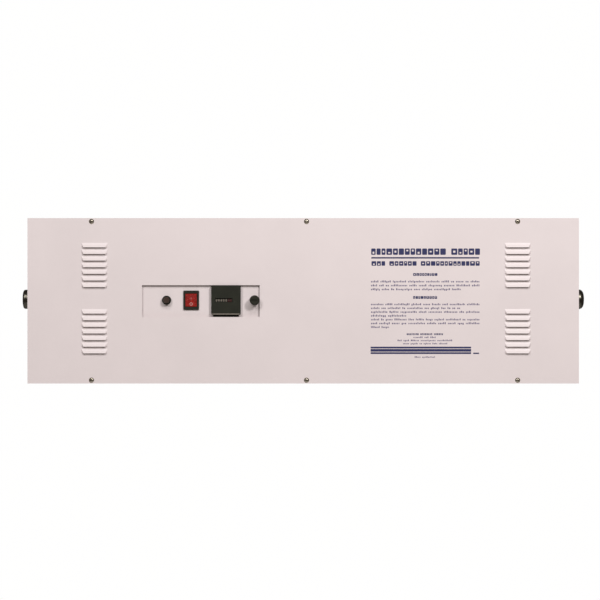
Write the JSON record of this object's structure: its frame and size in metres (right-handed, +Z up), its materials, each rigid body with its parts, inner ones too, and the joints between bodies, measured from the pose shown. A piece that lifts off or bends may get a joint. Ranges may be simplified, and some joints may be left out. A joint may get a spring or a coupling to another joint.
{
  "type": "ultraviolet water clarifier",
  "caption": "Wall-hung ultraviolet water clarifier: white louvred sheet-metal cabinet with a recessed control strip and pipe unions on both ends of a quartz tube between lamps.",
  "frame": {"origin": "centre of the flat back face, which hangs on the wall", "axes": "+X from the inlet to the outlet, +Y into the wall, +Z up; the front cover faces -Y"},
  "size_m": [0.9465, 0.162, 0.27],
  "materials": {
    "white_paint": "satin powder coat",
    "zinc_steel": "zinc plated",
    "screw_steel": "nickel plated",
    "stainless": "polished",
    "dark_nickel": "dark polished nickel plate",
    "brass": "plain",
    "reflector_aluminium": "bright rolled",
    "quartz_glass": "clear",
    "lamp_glass": "clear",
    "pane": "clear",
    "seal_rubber": "matt",
    "black_plastic": "fine moulded",
    "gland_plastic": "moulded nylon",
    "drum_black": "matt with printed digits",
    "drum_red": "matt with printed digits",
    "button_red": "dark red",
    "rocker_red": "translucent red",
    "ivory_plastic": "moulded",
    "starter_can": "white can",
    "ballast_enamel": "grey enamel",
    "capacitor_can": "plain can",
    "brown_wire": "insulation",
    "blue_wire": "insulation",
    "earth_wire": "green and yellow insulation"
  },
  "bodies": {
    "case": {"case_body": "white_paint", "left_end_plate": "white_paint", "right_end_plate": "white_paint", "end_plate_rivets": "zinc_steel", "cover_nut_plates": "zinc_steel", "cable_gland_body": "gland_plastic", "cable_gland_seal": "seal_rubber", "cable_gland_cap": "gland_plastic", "cable_gland_locknut": "gland_plastic", "earth_stud": "brass", "earth_nuts": "brass", "inlet_fitting": "stainless", "outlet_fitting": "stainless", "inlet_union_nut": "dark_nickel", "outlet_union_nut": "dark_nickel", "pipe_olives": "brass", "fitting_locknuts": "dark_nickel", "fitting_washers": "seal_rubber", "quartz_tube": "quartz_glass", "quartz_orings": "seal_rubber", "quartz_gland_nuts": "stainless", "rear_reflector": "reflector_aluminium", "front_reflector": "reflector_aluminium", "left_lamp_bracket": "zinc_steel", "right_lamp_bracket": "zinc_steel", "lamp_holders": "ivory_plastic", "lamp_tubes": "lamp_glass", "lamp_end_caps": "capacitor_can", "ballasts": "ballast_enamel", "starters": "starter_can", "starter_sockets": "ivory_plastic", "capacitor": "capacitor_can", "capacitor_clip": "zinc_steel", "terminal_block": "ivory_plastic", "terminal_screws": "brass", "brown_leads": "brown_wire", "blue_leads": "blue_wire", "earth_lead": "earth_wire", "control_bridge": "white_paint", "inside_screws": "zinc_steel", "breaker_body": "black_plastic", "switch_housing": "black_plastic", "switch_terminals": "zinc_steel", "counter_case": "black_plastic", "counter_window": "pane", "counter_axle": "zinc_steel", "fuse_body": "black_plastic"},
    "cover": {"front_cover": "white_paint", "cover_screws": "screw_steel"},
    "reset_button": {"breaker_button": "button_red"},
    "rocker": {"switch_rocker": "rocker_red"},
    "fuse_carrier": {"fuse_cap": "black_plastic", "fuse_link": "screw_steel"},
    "drum_10000h": {"drum_10000h": "drum_black"},
    "drum_1000h": {"drum_1000h": "drum_black"},
    "drum_100h": {"drum_100h": "drum_black"},
    "drum_10h": {"drum_10h": "drum_black"},
    "drum_1h": {"drum_1h": "drum_black"},
    "drum_tenth": {"drum_tenth": "drum_red"},
    "drum_hundredth": {"drum_hundredth": "drum_red"}
  },
  "joints": [
    {"name": "cover_lift_off", "type": "slide", "parent": "case", "child": "cover", "axis": [0, -1, 0], "range_m": [0, 0.2]},
    {"name": "reset_push", "type": "slide", "parent": "case", "child": "reset_button", "axis": [0, 1, 0], "range_m": [0, 0.003], "stiffness_N_per_m": 800},
    {"name": "rocker_tilt", "type": "hinge", "parent": "case", "child": "rocker", "pos_m": [-0.183, -0.1425, 0.001], "axis": [1, 0, 0], "range_deg": [-22, 0]},
    {"name": "fuse_pull", "type": "slide", "parent": "case", "child": "fuse_carrier", "axis": [0, -1, 0], "range_m": [0, 0.034]},
    {"name": "drum_10000h_turn", "type": "hinge", "parent": "case", "child": "drum_10000h", "pos_m": [-0.14145, -0.1425, 0.001], "axis": [1, 0, 0], "continuous": true},
    {"name": "drum_1000h_turn", "type": "hinge", "parent": "case", "child": "drum_1000h", "pos_m": [-0.1375, -0.1425, 0.001], "axis": [1, 0, 0], "continuous": true},
    {"name": "drum_100h_turn", "type": "hinge", "parent": "case", "child": "drum_100h", "pos_m": [-0.13355, -0.1425, 0.001], "axis": [1, 0, 0], "continuous": true},
    {"name": "drum_10h_turn", "type": "hinge", "parent": "case", "child": "drum_10h", "pos_m": [-0.1296, -0.1425, 0.001], "axis": [1, 0, 0], "continuous": true},
    {"name": "drum_1h_turn", "type": "hinge", "parent": "case", "child": "drum_1h", "pos_m": [-0.12565, -0.1425, 0.001], "axis": [1, 0, 0], "continuous": true},
    {"name": "drum_tenth_turn", "type": "hinge", "parent": "case", "child": "drum_tenth", "pos_m": [-0.1217, -0.1425, 0.001], "axis": [1, 0, 0], "continuous": true},
    {"name": "drum_hundredth_turn", "type": "hinge", "parent": "case", "child": "drum_hundredth", "pos_m": [-0.11775, -0.1425, 0.001], "axis": [1, 0, 0], "continuous": true}
  ],
  "couplings": [
    {"joint": "drum_10000h_turn", "follows": "drum_hundredth_turn", "ratio": 0.000001},
    {"joint": "drum_1000h_turn", "follows": "drum_hundredth_turn", "ratio": 0.00001},
    {"joint": "drum_100h_turn", "follows": "drum_hundredth_turn", "ratio": 0.0001},
    {"joint": "drum_10h_turn", "follows": "drum_hundredth_turn", "ratio": 0.001},
    {"joint": "drum_1h_turn", "follows": "drum_hundredth_turn", "ratio": 0.01},
    {"joint": "drum_tenth_turn", "follows": "drum_hundredth_turn", "ratio": 0.1}
  ]
}
